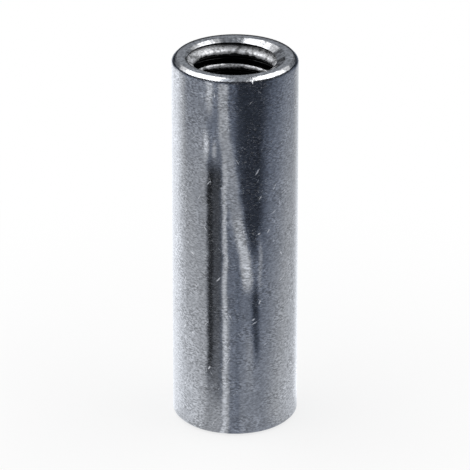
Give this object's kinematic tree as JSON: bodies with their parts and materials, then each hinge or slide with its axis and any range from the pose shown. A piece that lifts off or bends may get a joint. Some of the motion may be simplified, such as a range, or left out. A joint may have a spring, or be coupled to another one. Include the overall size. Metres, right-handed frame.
{
  "type": "round coupling nut",
  "caption": "Round coupling nut: a plain turned steel sleeve, threaded right through, with chamfered ends and countersunk mouths, for joining threaded rods end to end.",
  "frame": {"origin": "middle of the lower end face, on the sleeve's axis", "axes": "+Z along the sleeve's axis, up from the end it stands on; at the upper mouth the first groove of the thread lies 0.7 mm under the end face on the +Y side"},
  "size_m": [0.013, 0.013, 0.04],
  "materials": {
    "turned_steel": "bare satin steel, turned, with fine scratches"
  },
  "bodies": {
    "root": {"coupling_nut": "turned_steel"}
  },
  "joints": []
}
